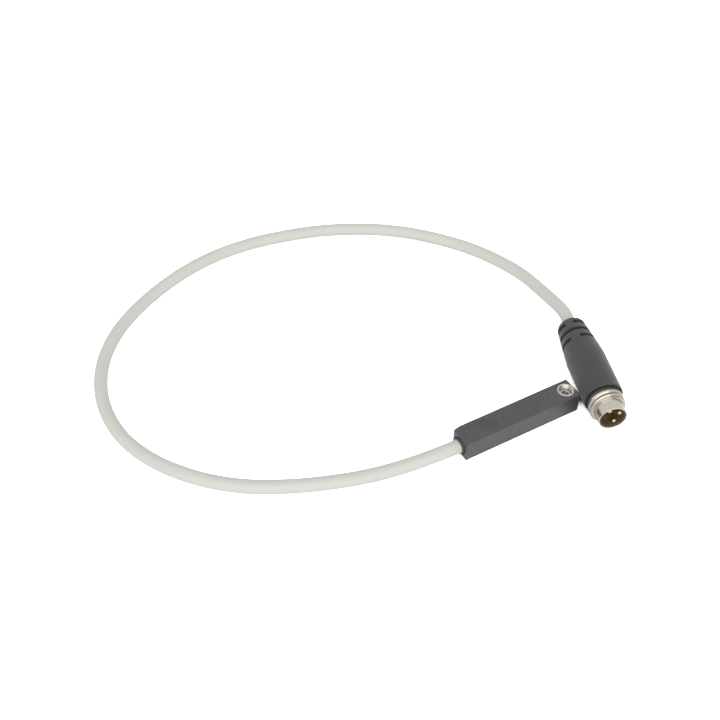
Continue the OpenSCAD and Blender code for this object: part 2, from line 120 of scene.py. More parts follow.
# Catmull-Rom curve through the points, with rings about step apart
def smoothPath(points, step):
    stops = [Vector(p) for p in points]
    stops = [2 * stops[0] - stops[1], *stops, 2 * stops[-1] - stops[-2]]
    line = []
    for a, b, c, d in zip(stops, stops[1:], stops[2:], stops[3:]):
        count = max(2, round((c - b).length / step))
        for i in range(count):
            t = i / count
            line.append(0.5 * (2 * b + (c - a) * t + (2 * a - 5 * b + 4 * c - d) * t**2
                               + (3 * b - a - 3 * c + d) * t**3))
    return [*line, stops[-2]]


# Round tube along a path, with a UV map in metres: u along the path, v around it
def sweptTube(name, line, radius, sides):
    verts, faces, along = [], [], [0]
    for a, b in zip(line, line[1:]):
        along.append(along[-1] + (b - a).length)
    last = len(line) - 1
    for i, centre in enumerate(line):
        heading = (line[min(i + 1, last)] - line[max(i - 1, 0)]).normalized()
        side = heading.cross(Vector((0, 0, 1))).normalized()
        up = side.cross(heading)
        for k in range(sides):
            turn = 2 * math.pi * k / sides
            verts.append(centre + radius * (math.cos(turn) * side + math.sin(turn) * up))
    for i in range(last):
        for k in range(sides):
            a, b = i * sides + k, i * sides + (k + 1) % sides
            faces.append((a, b, b + sides, a + sides))
    faces += [tuple(range(sides))[::-1], tuple(last * sides + k for k in range(sides))]
    mesh = bpy.data.meshes.new(name)
    mesh.from_pydata(verts, [], faces)
    uvMap = mesh.uv_layers.new(name="sheathLength")
    girth = 2 * math.pi * radius
    for face in mesh.polygons[:-2]:
        quad = divmod(face.index, sides)
        for loop, (di, dk) in zip(face.loop_indices, ((0, 0), (0, 1), (1, 1), (1, 0))):
            uvMap.data[loop].uv = (along[quad[0] + di], girth * (quad[1] + dk) / sides)
    mesh.shade_smooth()
    return linkObject(name, mesh)


leadPath = smoothPath(lead["route"], lead["ringStep"])
leadSheath = sweptTube("leadSheath", leadPath, lead["diameter"] / 2, lead["sides"])
print("lead:", len(leadPath), "rings")

# Where turned parts stand: the plug on its own axis, which the coupling ring turns about
ringJoint = next(j for j in frame["joints"] if j["name"] == "coupling_ring_turn")
plugFrame = {
    "ringRear": 1.13,  # distance of the ring's rear, where its joint is, from the grip's rim
    "roll": 24.5,      # degrees, turn of the plug about its axis
}


# The plug's place, from millimetres with Z along its axis to the frame's metres
def plugMatrix():
    axis = Vector(ringJoint["axis"]).normalized()
    rim = Vector(ringJoint["pos_m"]) - axis * plugFrame["ringRear"] * mm
    yaw, rise = math.atan2(axis.y, axis.x), math.asin(axis.z)
    turn = Matrix.Rotation(yaw, 4, "Z") @ Matrix.Rotation(math.pi / 2 - rise, 4, "Y")
    roll = Matrix.Rotation(math.radians(plugFrame["roll"]), 4, "Z")
    return Matrix.Translation(rim) @ turn @ roll @ Matrix.Scale(mm, 4)


onPlug = plugMatrix()


# A place in the head, given in millimetres, with Z up or lying along +X
def headMatrix(x, z=0, lying=False):
    turn = Matrix.Rotation(math.pi / 2 if lying else 0, 4, "Y")
    return Matrix.Translation((x * mm, 0, z * mm)) @ turn @ Matrix.Scale(mm, 4)


# What an outline's point carries, read by the tree of turned parts
plain, thread, knurl, hexagon, slotted = range(5)


# Tree of turned parts: the outline's points are (radius, pattern, height) in millimetres
def turnedTree():
    tree = bpy.data.node_groups.new("turnedPart", "GeometryNodeTree")
    sockets = [
        ("Geometry", "NodeSocketGeometry", None), ("Sides", "NodeSocketInt", 96),
        ("Thread Pitch", "NodeSocketFloat", 1), ("Thread Depth", "NodeSocketFloat", 0),
        ("Knurl Count", "NodeSocketInt", 24), ("Knurl Depth", "NodeSocketFloat", 0),
        ("Slot Rows", "NodeSocketInt", 3), ("Slot First", "NodeSocketFloat", 0),
        ("Slot Pitch", "NodeSocketFloat", 2), ("Slot Width", "NodeSocketFloat", 0.6),
        ("Slot Floor", "NodeSocketFloat", 2), ("Slot Bridge", "NodeSocketFloat", 0.5),
        ("Slot Edge", "NodeSocketFloat", 0.1), ("Slot End", "NodeSocketFloat", 0.15),
        ("Material", "NodeSocketMaterial", None),
    ]
    for label, kind, value in sockets:
        socket = tree.interface.new_socket(label, in_out="INPUT", socket_type=kind)
        if value is not None:
            socket.default_value = value
    tree.interface.new_socket("Geometry", in_out="OUTPUT", socket_type="NodeSocketGeometry")
    given = addNode(tree, "NodeGroupInput").outputs

    # A grid with one row per point of the outline and one column per side
    rows = addNode(tree, "GeometryNodeAttributeDomainSize", {0: given["Geometry"]}, component="MESH")
    columns = addNode(tree, "ShaderNodeMath", {0: given["Sides"], 1: 1}, operation="ADD")
    grid = addNode(tree, "GeometryNodeMeshGrid",
                   {"Size X": 1, "Size Y": 1, "Vertices X": rows, "Vertices Y": columns})
    place = addNode(tree, "GeometryNodeInputPosition")
    gridPlace = addNode(tree, "ShaderNodeSeparateXYZ", {0: place}).outputs
    lastRow = addNode(tree, "ShaderNodeMath", {0: rows, 1: 1}, operation="SUBTRACT")
    rowShare = addNode(tree, "ShaderNodeMath", {0: gridPlace["X"], 1: 0.5}, operation="ADD")
    rowPlace = addNode(tree, "ShaderNodeMath", {0: rowShare, 1: lastRow}, operation="MULTIPLY")
    row = addNode(tree, "ShaderNodeMath", {0: rowPlace}, operation="ROUND")
    turnShare = addNode(tree, "ShaderNodeMath", {0: gridPlace["Y"], 1: 0.5}, operation="ADD")
    turn = addNode(tree, "ShaderNodeMath", {0: turnShare, 1: 2 * math.pi}, operation="MULTIPLY")
    sample = addNode(tree, "GeometryNodeSampleIndex",
                     {"Geometry": given["Geometry"], "Value": place, "Index": row},
                     data_type="FLOAT_VECTOR", domain="POINT")
    point = addNode(tree, "ShaderNodeSeparateXYZ", {0: sample}).outputs
    radius, pattern, height = point["X"], point["Y"], point["Z"]
    has = {
        code: addNode(tree, "ShaderNodeMath", {0: pattern, 1: code, 2: 0.1}, operation="COMPARE")
        for code in (thread, knurl, hexagon, slotted)
    }

    # Thread: a triangular wave with flat crests that climbs one pitch a turn
    climbed = addNode(tree, "ShaderNodeMath", {0: height, 1: given["Thread Pitch"]}, operation="DIVIDE")
    phase = addNode(tree, "ShaderNodeMath", {0: climbed, 1: turnShare}, operation="SUBTRACT")
    wave = addNode(tree, "ShaderNodeMath", {0: phase, 1: 0.5}, operation="PINGPONG")
    groove = addNode(tree, "ShaderNodeMath", {0: wave, 1: 2.6, 2: -0.3}, operation="MULTIPLY_ADD",
                     use_clamp=True)
    threadCut = addNode(tree, "ShaderNodeMath", {0: groove, 1: given["Thread Depth"]},
                        operation="MULTIPLY")
    threadHere = addNode(tree, "ShaderNodeMath", {0: threadCut, 1: has[thread]}, operation="MULTIPLY")

    # Knurl: scallops round the wall
    knurlTurn = addNode(tree, "ShaderNodeMath", {0: turn, 1: given["Knurl Count"]}, operation="MULTIPLY")
    knurlWave = addNode(tree, "ShaderNodeMath", {0: knurlTurn}, operation="COSINE")
    knurlDip = addNode(tree, "ShaderNodeMath", {0: knurlWave, 1: -0.5, 2: 0.5}, operation="MULTIPLY_ADD")
    knurlCut = addNode(tree, "ShaderNodeMath", {0: knurlDip, 1: given["Knurl Depth"]},
                       operation="MULTIPLY")
    knurlHere = addNode(tree, "ShaderNodeMath", {0: knurlCut, 1: has[knurl]}, operation="MULTIPLY")

    # Hexagon: the outline's radius is at the corners
    fromCorner = addNode(tree, "ShaderNodeMath", {0: turn, 1: math.pi / 6}, operation="PINGPONG")
    fromFlat = addNode(tree, "ShaderNodeMath", {0: math.pi / 6, 1: fromCorner}, operation="SUBTRACT")
    flatCosine = addNode(tree, "ShaderNodeMath", {0: fromFlat}, operation="COSINE")
    hexFactor = addNode(tree, "ShaderNodeMath", {0: math.cos(math.pi / 6), 1: flatCosine},
                        operation="DIVIDE")
    hexRadius = addNode(tree, "ShaderNodeMath", {0: radius, 1: hexFactor}, operation="MULTIPLY")
    hexHere = addNode(tree, "ShaderNodeMix", {"Factor": has[hexagon], 2: radius, 3: hexRadius})

    # Slots: rows of two, each row turned a quarter from the last, with a bridge between the two
    fromFirst = addNode(tree, "ShaderNodeMath", {0: height, 1: given["Slot First"]}, operation="SUBTRACT")
    rowFloat = addNode(tree, "ShaderNodeMath", {0: fromFirst, 1: given["Slot Pitch"]}, operation="DIVIDE")
    rowNear = addNode(tree, "ShaderNodeMath", {0: rowFloat}, operation="ROUND")
    lastSlot = addNode(tree, "ShaderNodeMath", {0: given["Slot Rows"], 1: 1}, operation="SUBTRACT")
    slotRow = addNode(tree, "ShaderNodeClamp", {"Value": rowNear, "Min": 0, "Max": lastSlot})
    rowHeight = addNode(tree, "ShaderNodeMath", {0: slotRow, 1: given["Slot Pitch"]},
                        operation="MULTIPLY")
    offRow = addNode(tree, "ShaderNodeMath", {0: fromFirst, 1: rowHeight}, operation="SUBTRACT")
    offMiddle = addNode(tree, "ShaderNodeMath", {0: offRow}, operation="ABSOLUTE")
    halfWidth = addNode(tree, "ShaderNodeMath", {0: given["Slot Width"], 1: 0.5}, operation="MULTIPLY")
    softWidth = addNode(tree, "ShaderNodeMath", {0: halfWidth, 1: given["Slot Edge"]}, operation="ADD")
    inSlot = addNode(tree, "ShaderNodeMapRange",
                     {"Value": offMiddle, "From Min": halfWidth, "From Max": softWidth, 3: 1, 4: 0},
                     interpolation_type="SMOOTHSTEP")
    quarter = addNode(tree, "ShaderNodeMath", {0: slotRow, 1: math.pi / 2}, operation="MULTIPLY")
    fromBridge = addNode(tree, "ShaderNodeMath", {0: turn, 1: quarter}, operation="SUBTRACT")
    offBridge = addNode(tree, "ShaderNodeMath", {0: fromBridge, 1: math.pi / 2}, operation="PINGPONG")
    arcOff = addNode(tree, "ShaderNodeMath", {0: offBridge, 1: radius}, operation="MULTIPLY")
    bridgeArc = addNode(tree, "ShaderNodeMath", {0: given["Slot Bridge"], 1: radius},
                        operation="MULTIPLY")
    bridgeSoft = addNode(tree, "ShaderNodeMath", {0: bridgeArc, 1: given["Slot End"]}, operation="ADD")
    offRib = addNode(tree, "ShaderNodeMapRange",
                     {"Value": arcOff, "From Min": bridgeArc, "From Max": bridgeSoft, 3: 0, 4: 1},
                     interpolation_type="SMOOTHSTEP")
    slotShare = addNode(tree, "ShaderNodeMath", {0: inSlot, 1: offRib}, operation="MULTIPLY")
    slotHere = addNode(tree, "ShaderNodeMath", {0: slotShare, 1: has[slotted]}, operation="MULTIPLY")
    slotRadius = addNode(tree, "ShaderNodeMath", {0: radius, 1: given["Slot Floor"]},
                         operation="MINIMUM")
    slotDepth = addNode(tree, "ShaderNodeMath", {0: radius, 1: slotRadius}, operation="SUBTRACT")
    slotCut = addNode(tree, "ShaderNodeMath", {0: slotDepth, 1: slotHere}, operation="MULTIPLY")

    # New radius, turned round the axis and closed along its seam and at its poles
    cuts = addNode(tree, "ShaderNodeMath", {0: threadHere, 1: knurlHere}, operation="ADD")
    allCuts = addNode(tree, "ShaderNodeMath", {0: cuts, 1: slotCut}, operation="ADD")
    shaped = addNode(tree, "ShaderNodeMath", {0: hexHere, 1: allCuts}, operation="SUBTRACT")
    cosine = addNode(tree, "ShaderNodeMath", {0: turn}, operation="COSINE")
    sine = addNode(tree, "ShaderNodeMath", {0: turn}, operation="SINE")
    x = addNode(tree, "ShaderNodeMath", {0: shaped, 1: cosine}, operation="MULTIPLY")
    y = addNode(tree, "ShaderNodeMath", {0: shaped, 1: sine}, operation="MULTIPLY")
    turned = addNode(tree, "ShaderNodeCombineXYZ", {"X": x, "Y": y, "Z": height})
    moved = addNode(tree, "GeometryNodeSetPosition", {"Geometry": grid, "Position": turned})
    closed = addNode(tree, "GeometryNodeMergeByDistance", {"Geometry": moved, "Distance": 0.001})
    whole = addNode(tree, "GeometryNodeRealizeInstances", {"Geometry": closed})
    dressed = addNode(tree, "GeometryNodeSetMaterial",
                      {"Geometry": whole, "Material": given["Material"]})
    addNode(tree, "NodeGroupOutput", {"Geometry": dressed})
    return tree


turnedPart = turnedTree()


# Outline from corners (height, radius, corner radius, pattern up to the next corner), of which the last
# two may be left out: corners become arcs, and a patterned stretch gets a point every fineStep
def outlineOf(corners, fineStep=0.05, arcSteps=4, loop=False):
    corners = [(*known, *(0, plain)[len(known) - 2:]) for known in corners]
    points = []
    count = len(corners)
    for i, (height, radius, corner, pattern) in enumerate(corners):
        here = Vector((height, radius))
        before, after = corners[i - 1], corners[(i + 1) % count]
        ends = [here]
        if corner and (loop or 0 < i < count - 1):
            back = (Vector(before[:2]) - here).normalized()
            on = (Vector(after[:2]) - here).normalized()
            half = back.angle(on) / 2
            reach = corner / math.tan(half)
            centre = here + (back + on).normalized() * corner / math.sin(half)
            start, stop = here + back * reach - centre, here + on * reach - centre
            ends = [centre + corner * start.slerp(stop, k / arcSteps).normalized()
                    for k in range(arcSteps + 1)]
        points += [(p, pattern if k == len(ends) - 1 else plain) for k, p in enumerate(ends)]
    if loop:
        points.append(points[0])
    filled = []
    for (a, pattern), (b, _) in zip(points, points[1:]):
        steps = max(1, round((b - a).length / fineStep)) if pattern else 1
        filled += [(a.lerp(b, k / steps), pattern) for k in range(steps)]
    filled.append((points[-1][0], plain))
    marks = [now if now else last for (_, last), (_, now) in zip([(0, plain), *filled], filled)]
    return [(p.y, mark, p.x) for (p, _), mark in zip(filled, marks)]


# Runs the tree on an outline and keeps the result as a plain mesh at its place
def turnedPiece(name, outline, place, **sizes):
    base = bpy.data.meshes.new(name)
    base.from_pydata(outline, [(i, i + 1) for i in range(len(outline) - 1)], [])
    piece = linkObject(name, base)
    modifier = piece.modifiers.new("turned", "NODES")
    modifier.node_group = turnedPart
    sizes["Material"] = finishes.get(name)
    for item in turnedPart.interface.items_tree:
        if item.in_out == "INPUT" and item.name in sizes:
            modifier[item.identifier] = sizes[item.name]
    return bakedPiece(piece, place)


# Keeps the evaluated mesh of a piece as its own
def applyModifiers(piece):
    shown = piece.evaluated_get(bpy.context.evaluated_depsgraph_get())
    mesh = bpy.data.meshes.new_from_object(shown)
    piece.modifiers.clear()
    piece.data = mesh
    return mesh


softCorner = math.radians(35)  # flatter corners are shaded smooth


# The plain mesh of a piece at its place, with its faces outwards and soft corners shaded smooth
def bakedPiece(piece, place):
    mesh = applyModifiers(piece)
    mesh.transform(place)
    shape = bmesh.new()
    shape.from_mesh(mesh)
    bmesh.ops.recalc_face_normals(shape, faces=shape.faces)
    shape.to_mesh(mesh)
    shape.free()
    mesh.shade_smooth()
    mesh.set_sharp_from_angle(angle=softCorner)
    return piece


# Materials. Colours are sRGB hex, turned to linear.
def hexColour(text):
    channels = [int(text[i:i + 2], 16) / 255 for i in (1, 3, 5)]
    linear = [c / 12.92 if c <= 0.04045 else ((c + 0.055) / 1.055) ** 2.4 for c in channels]
    return (*linear, 1)


# A material with its shader's constant inputs set; returns it with its tree, shader and coordinates
def startMaterial(name, **inputs):
    material = bpy.data.materials.new(name)
    material.use_nodes = True
    tree = material.node_tree
    shader = tree.nodes["Principled BSDF"]
    for label, value in inputs.items():
        shader.inputs[label.replace("_", " ")].default_value = value
    coordinates = addNode(tree, "ShaderNodeTexCoord")
    return material, tree, shader, coordinates


# Links what a material's nodes give to the named inputs of its shader
def linkShader(tree, shader, **sockets):
    for label, socket in sockets.items():
        tree.links.new(socket, shader.inputs[label.replace("_", " ")])


# Object coordinates in the millimetres of a place, such as the plug's
def placeCoordinates(tree, coordinates, place):
    return addNode(tree, "ShaderNodeMapping",
                   {"Vector": coordinates.outputs["Object"], "Location": place.to_translation(),
                    "Rotation": place.to_euler(), "Scale": place.to_scale()}, vector_type="TEXTURE")


# Glass-filled polyester of the head, moulded in a spark-eroded tool: dark grey and finely mottled, with
# enough gloss that its sides pick up the floor, and the faint round mark of an ejector in its top. All of
# it is rougher than 0.27, past which its reflections count as matt, so that no glossy specks stand out.
def mouldedPolyester():
    material, tree, shader, coordinates = startMaterial("mouldedPolyester", IOR=1.74)
    where = coordinates.outputs["Object"]
    broad = addNode(tree, "ShaderNodeTexNoise", {"Vector": where, "Scale": 1 / (3 * mm), "Detail": 3})
    grain = addNode(tree, "ShaderNodeTexNoise",
                    {"Vector": where, "Scale": 1 / (0.35 * mm), "Detail": 2, "Roughness": 0.6})
    blend = addNode(tree, "ShaderNodeMath", {0: broad, 1: 0.8}, operation="MULTIPLY")
    both = addNode(tree, "ShaderNodeMath", {0: grain, 1: 0.2, 2: blend}, operation="MULTIPLY_ADD")
    spread = addNode(tree, "ShaderNodeMapRange", {"Value": both, 1: 0.3, 2: 0.7})
    colour = addNode(tree, "ShaderNodeMix",
                     {"Factor": spread, 6: hexColour("#383639"), 7: hexColour("#474548")}, data_type="RGBA")
    _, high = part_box("head_housing")
    centred = placeCoordinates(tree, coordinates, headMatrix(head["ejectorX"], high.z / mm))
    offMark = addNode(tree, "ShaderNodeVectorMath", {0: centred}, operation="LENGTH").outputs["Value"]
    mark = addNode(tree, "ShaderNodeMath",
                   {0: offMark, 1: head["ejectorRadius"], 2: head["ejectorLine"]}, operation="COMPARE")
    markShare = addNode(tree, "ShaderNodeMath", {0: mark, 1: head["ejectorShare"]}, operation="MULTIPLY")
    marked = addNode(tree, "ShaderNodeMix",
                     {"Factor": markShare, 6: colour.outputs[2], 7: hexColour("#8a888c")}, data_type="RGBA")
    dull = addNode(tree, "ShaderNodeMapRange", {"Value": broad, 1: 0.3, 2: 0.7, 3: 0.28, 4: 0.34})
    bump = addNode(tree, "ShaderNodeBump", {"Height": grain, "Strength": 0.5, "Distance": 0.02 * mm})
    linkShader(tree, shader, Base_Color=marked.outputs[2], Roughness=dull.outputs[0],
               Normal=bump.outputs[0])
    return material


# Smoked polycarbonate of the window: nearly as dark as the head, and a little paler towards its edge
def smokedPolycarbonate():
    material, tree, shader, coordinates = startMaterial("smokedPolycarbonate", Roughness=0.3, IOR=1.58)
    centred = placeCoordinates(tree, coordinates, headMatrix(window["x"]))
    flat = addNode(tree, "ShaderNodeVectorMath", {0: centred, 1: (1, 1, 0)}, operation="MULTIPLY")
    distance = addNode(tree, "ShaderNodeVectorMath", {0: flat}, operation="LENGTH")
    edge = addNode(tree, "ShaderNodeMapRange",
                   {"Value": distance.outputs["Value"], 1: window["paleFrom"], 2: window["paleFull"]},
                   interpolation_type="SMOOTHSTEP")
    cloud = addNode(tree, "ShaderNodeTexNoise",
                    {"Vector": coordinates.outputs["Object"], "Scale": 1 / (0.8 * mm), "Detail": 2})
    share = addNode(tree, "ShaderNodeMath", {0: cloud, 1: 0.25, 2: edge}, operation="MULTIPLY_ADD")
    colour = addNode(tree, "ShaderNodeMix",
                     {"Factor": share, 6: hexColour("#403e41"), 7: hexColour("#4c4a4e")}, data_type="RGBA")
    linkShader(tree, shader, Base_Color=colour.outputs[2])
    return material


# Extruded sheath of the lead: warm light grey, satin, with faint lines drawn along it by the die, of
# which 2.6 come to a millimetre round the sheath
def extrudedSheath():
    material, tree, shader, _ = startMaterial(
        "extrudedSheath", IOR=1.5, Subsurface_Weight=0.12, Subsurface_Scale=0.6 * mm)
    uv = addNode(tree, "ShaderNodeUVMap", uv_map="sheathLength")
    drawn = addNode(tree, "ShaderNodeMapping", {"Vector": uv, "Scale": (0.06 / mm, 2.6 / mm, 1)})
    lines = addNode(tree, "ShaderNodeTexNoise", {"Vector": drawn, "Scale": 1, "Detail": 2})
    broad = addNode(tree, "ShaderNodeMapping", {"Vector": uv, "Scale": (0.09 / mm, 0.16 / mm, 1)})
    tone = addNode(tree, "ShaderNodeTexNoise", {"Vector": broad, "Scale": 1, "Detail": 3})
    colour = addNode(tree, "ShaderNodeMix",
                     {"Factor": tone, 6: hexColour("#c6c7c0"), 7: hexColour("#cfd0c9")}, data_type="RGBA")
    satin = addNode(tree, "ShaderNodeMapRange", {"Value": tone, 3: 0.38, 4: 0.52})
    bump = addNode(tree, "ShaderNodeBump", {"Height": lines, "Strength": 0.25, "Distance": 0.02 * mm})
    linkShader(tree, shader, Base_Color=colour.outputs[2], Roughness=satin.outputs[0],
               Normal=bump.outputs[0])
    return material


# Moulded polyurethane of the plug's grip: dark grey, silky, paler where it turns away
def mouldedPolyurethane():
    material, tree, shader, coordinates = startMaterial(
        "mouldedPolyurethane", IOR=1.5, Specular_IOR_Level=0.35, Sheen_Weight=0.25, Sheen_Roughness=0.5)
    where = coordinates.outputs["Object"]
    broad = addNode(tree, "ShaderNodeTexNoise", {"Vector": where, "Scale": 1 / (5 * mm), "Detail": 3})
    fine = addNode(tree, "ShaderNodeTexNoise", {"Vector": where, "Scale": 1 / (0.35 * mm), "Detail": 2})
    colour = addNode(tree, "ShaderNodeMix",
                     {"Factor": broad, 6: hexColour("#3a383a"), 7: hexColour("#474547")}, data_type="RGBA")
    silky = addNode(tree, "ShaderNodeMapRange", {"Value": fine, 3: 0.42, 4: 0.56})
    bump = addNode(tree, "ShaderNodeBump", {"Height": fine, "Strength": 0.2, "Distance": 0.02 * mm})
    linkShader(tree, shader, Base_Color=colour.outputs[2], Roughness=silky.outputs[0],
               Normal=bump.outputs[0])
    return material


# Plated metal, turned before it was plated: the tool's fine rings, across the axis of the given place,
# roughen it a little; painted shade makes it darker and browner at the bottom of a thread, where
# rootShade gives (back, front, bottom, crest) in mm
def platedMetal(name, low, high, roughness, place, rootShade=None):
    material, tree, shader, coordinates = startMaterial(name, Metallic=1)
    own = placeCoordinates(tree, coordinates, place)
    tone = addNode(tree, "ShaderNodeTexNoise", {"Vector": own, "Scale": 0.8, "Detail": 3})
    colour = addNode(tree, "ShaderNodeMix",
                     {"Factor": tone, 6: hexColour(low), 7: hexColour(high)}, data_type="RGBA")
    shown = colour.outputs[2]
    if rootShade:
        height = addNode(tree, "ShaderNodeSeparateXYZ", {0: own}).outputs["Z"]
        flat = addNode(tree, "ShaderNodeVectorMath", {0: own, 1: (1, 1, 0)}, operation="MULTIPLY")
        radius = addNode(tree, "ShaderNodeVectorMath", {0: flat}, operation="LENGTH").outputs["Value"]
        middle, half = (rootShade[0] + rootShade[1]) / 2, (rootShade[1] - rootShade[0]) / 2
        along = addNode(tree, "ShaderNodeMath", {0: height, 1: middle, 2: half}, operation="COMPARE")
        deep = addNode(tree, "ShaderNodeMapRange", {"Value": radius, 1: rootShade[2], 2: rootShade[3], 3: 1, 4: 0})
        share = addNode(tree, "ShaderNodeMath", {0: along, 1: deep}, operation="MULTIPLY")
        # painted shade: darker and browner towards the bottom of the thread, where its roots lie in shade
        shown = addNode(tree, "ShaderNodeMix",
                        {"Factor": share, 6: shown, 7: hexColour("#7a6450")}, data_type="RGBA").outputs[2]
    rings = addNode(tree, "ShaderNodeMapping", {"Vector": own, "Scale": (0.15, 0.15, 14)})
    lines = addNode(tree, "ShaderNodeTexNoise", {"Vector": rings, "Scale": 1, "Detail": 2})
    rough = addNode(tree, "ShaderNodeMapRange",
                    {"Value": lines, 3: roughness * 0.75, 4: roughness * 1.35})
    bump = addNode(tree, "ShaderNodeBump", {"Height": lines, "Strength": 0.12, "Distance": 0.01 * mm})
    linkShader(tree, shader, Base_Color=shown, Roughness=rough.outputs[0], Normal=bump.outputs[0])
    return material


# Brown polyamide of the contact carrier: its face deep between the pins has painted light, paler than the
# skirt
carrier = {"paintedLightUpTo": 1.5, "paintedLightGoneFrom": 4}  # heights along the plug, millimetres


def brownPolyamide():
    material, tree, shader, coordinates = startMaterial("brownPolyamide", Roughness=0.55)
    own = placeCoordinates(tree, coordinates, onPlug)
    height = addNode(tree, "ShaderNodeSeparateXYZ", {0: own}).outputs["Z"]
    tone = addNode(tree, "ShaderNodeTexNoise", {"Vector": own, "Scale": 1.4, "Detail": 3})
    # painted light: the carrier's face deep inside the sleeve is painted paler, and it turns darker towards
    # the skirt
    skirt = addNode(tree, "ShaderNodeMapRange",
                    {"Value": height, 1: carrier["paintedLightUpTo"], 2: carrier["paintedLightGoneFrom"], 3: -0.2, 4: 0.7})
    share = addNode(tree, "ShaderNodeMath", {0: tone, 1: 0.4, 2: skirt}, operation="MULTIPLY_ADD",
                    use_clamp=True)
    colour = addNode(tree, "ShaderNodeMix",
                     {"Factor": share, 6: hexColour("#ac937b"), 7: hexColour("#5c4937")}, data_type="RGBA")
    bump = addNode(tree, "ShaderNodeBump", {"Height": tone, "Strength": 0.2, "Distance": 0.02 * mm})
    linkShader(tree, shader, Base_Color=colour.outputs[2], Normal=bump.outputs[0])
    return material


# Plain moulded or cast stuff of one colour for small pieces: a cloud of the given size, in mm, varies its
# tone, its gloss and its surface a little
def plainStuff(name, low, high, roughness, size):
    material, tree, shader, coordinates = startMaterial(name)
    where = coordinates.outputs["Object"]
    tone = addNode(tree, "ShaderNodeTexNoise", {"Vector": where, "Scale": 1 / (size * mm), "Detail": 3})
    colour = addNode(tree, "ShaderNodeMix",
                     {"Factor": tone, 6: hexColour(low), 7: hexColour(high)}, data_type="RGBA")
    rough = addNode(tree, "ShaderNodeMapRange",
                    {"Value": tone, 3: roughness - 0.06, 4: roughness + 0.06})
    bump = addNode(tree, "ShaderNodeBump", {"Height": tone, "Strength": 0.15, "Distance": 0.02 * mm})
    linkShader(tree, shader, Base_Color=colour.outputs[2], Roughness=rough.outputs[0],
               Normal=bump.outputs[0])
    return material


# Sensor head, millimetres
head = {
    "edge": 0.25, "edgeSteps": 4,
    "bevelRun": 1.4, "bevelDrop": 0.45,
    "boreRadius": 1.8, "boreHeight": 2.2, "boreEnd": 9.6,
    "mouthRadius": 1.95, "mouthDepth": 0.45,
    "lip": 0.06,  # chamfer round the openings
    "ejectorX": 8.6, "ejectorRadius": 1.6,
    "ejectorLine": 0.1,    # half the width of the ejector's mark
    "ejectorShare": 0.12,  # how much of the mark's paler colour shows
}
window = {
    "x": -7.35, "radius": 1.65, "depth": 0.8, "pipeRadius": 0.8, "pipeBottom": 3.3, "gap": 0.02,
    "edge": 0.05, "rim": 0.08, "paleFrom": 1.15, "paleFull": 1.5,
}
screw = {
    "x": 12.35, "radius": 1.35, "bottom": 0.35, "top": 4, "tipRadius": 0.75, "tipHeight": 0.6,
    "pitch": 0.5, "threadDepth": 0.22, "chamfer": 0.14, "edge": 0.04,
    "holeGap": 0.1,  # between the screw and the hole under the insert
    "socketFlats": 1.5, "socketDepth": 1.6, "socketChamfer": 0.1, "socketEdge": 0.02, "socketPoint": 0.2,
}
insert = {
    "radius": 1.9, "bore": 1.4, "length": 3.2, "knurls": 24, "knurlDepth": 0.12,
    "threadDepth": -0.16,  # the bore's thread is cut outwards
    "footChamfer": 0.1, "rimHeight": 0.04, "rimWidth": 0.05,
    "mouthHeight": 0.1, "mouthWidth": 0.08, "mouthEdge": 0.03,
}
collar = {"radius": 1.75, "bore": 1.52, "out": 0.45, "inside": 2.2, "edge": 0.1, "boreEdge": 0.06}


def makeHead():
    low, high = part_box("head_housing")
    x0, x1, halfWidth, top = low.x / mm, high.x / mm, high.y / mm, high.z / mm
    side = [
        (x0, 0), (x1, 0), (x1, top), (x0 + head["bevelRun"], top), (x0, top - head["bevelDrop"]),
    ]
    bar = bmesh.new()
    rings = [[bar.verts.new((x, y, z)) for x, z in side] for y in (-halfWidth, halfWidth)]
    bar.faces.new(rings[0])
    bar.faces.new(rings[1][::-1])
    for i in range(len(side)):
        j = (i + 1) % len(side)
        bar.faces.new((rings[0][j], rings[0][i], rings[1][i], rings[1][j]))
    bmesh.ops.recalc_face_normals(bar, faces=bar.faces)
    bmesh.ops.bevel(bar, geom=bar.edges[:], offset=head["edge"], segments=head["edgeSteps"],
                    profile=0.5, affect="EDGES")
    mesh = bpy.data.meshes.new("headMoulding")
    bar.to_mesh(mesh)
    bar.free()
    mesh.materials.append(finishes["headMoulding"])
    moulding = linkObject("headMoulding", mesh)
    lip = head["lip"]
    past = 1
    mouth, bore = head["mouthRadius"], head["boreRadius"]
    hole = screw["radius"] + screw["holeGap"]
    seat = insert["radius"] + window["gap"]
    pocket, pipe = window["radius"] + window["gap"], window["pipeRadius"] + window["gap"]
    cuts = [
        (Matrix.Translation((0, 0, head["boreHeight"])) @ Matrix.Rotation(math.pi / 2, 4, "Y"), [
            (x0 - past, 0), (x0 - past, mouth + lip), (x0, mouth + lip), (x0 + lip, mouth),
            (x0 + head["mouthDepth"], mouth), (x0 + head["mouthDepth"], bore),
            (head["boreEnd"], bore), (head["boreEnd"], 0)]),
        (Matrix.Translation((window["x"], 0, 0)), [
            (head["boreHeight"], 0), (head["boreHeight"], pipe), (top - window["depth"], pipe),
            (top - window["depth"], pocket), (top - lip, pocket), (top, pocket + lip),
            (top + past, pocket + lip), (top + past, 0)]),
        (Matrix.Translation((screw["x"], 0, 0)), [
            (-past, 0), (-past, hole + lip), (0, hole + lip), (lip, hole),
            (top - insert["length"], hole), (top - insert["length"], seat),
            (top + past, seat), (top + past, 0)]),
    ]
    cutters = []
    for i, (place, corners) in enumerate(cuts):
        cutter = turnedPiece(f"cutter{i}", outlineOf(corners), place)
        cut = moulding.modifiers.new("cut", "BOOLEAN")
        cut.operation, cut.solver, cut.object = "DIFFERENCE", "EXACT", cutter
        cutters.append(cutter)
    bakedPiece(moulding, Matrix.Scale(mm, 4))
    for cutter in cutters:
        bpy.data.objects.remove(cutter)
    level = moulding.modifiers.new("flatFaces", "WEIGHTED_NORMAL")
    level.keep_sharp = True
    applyModifiers(moulding)
    return moulding


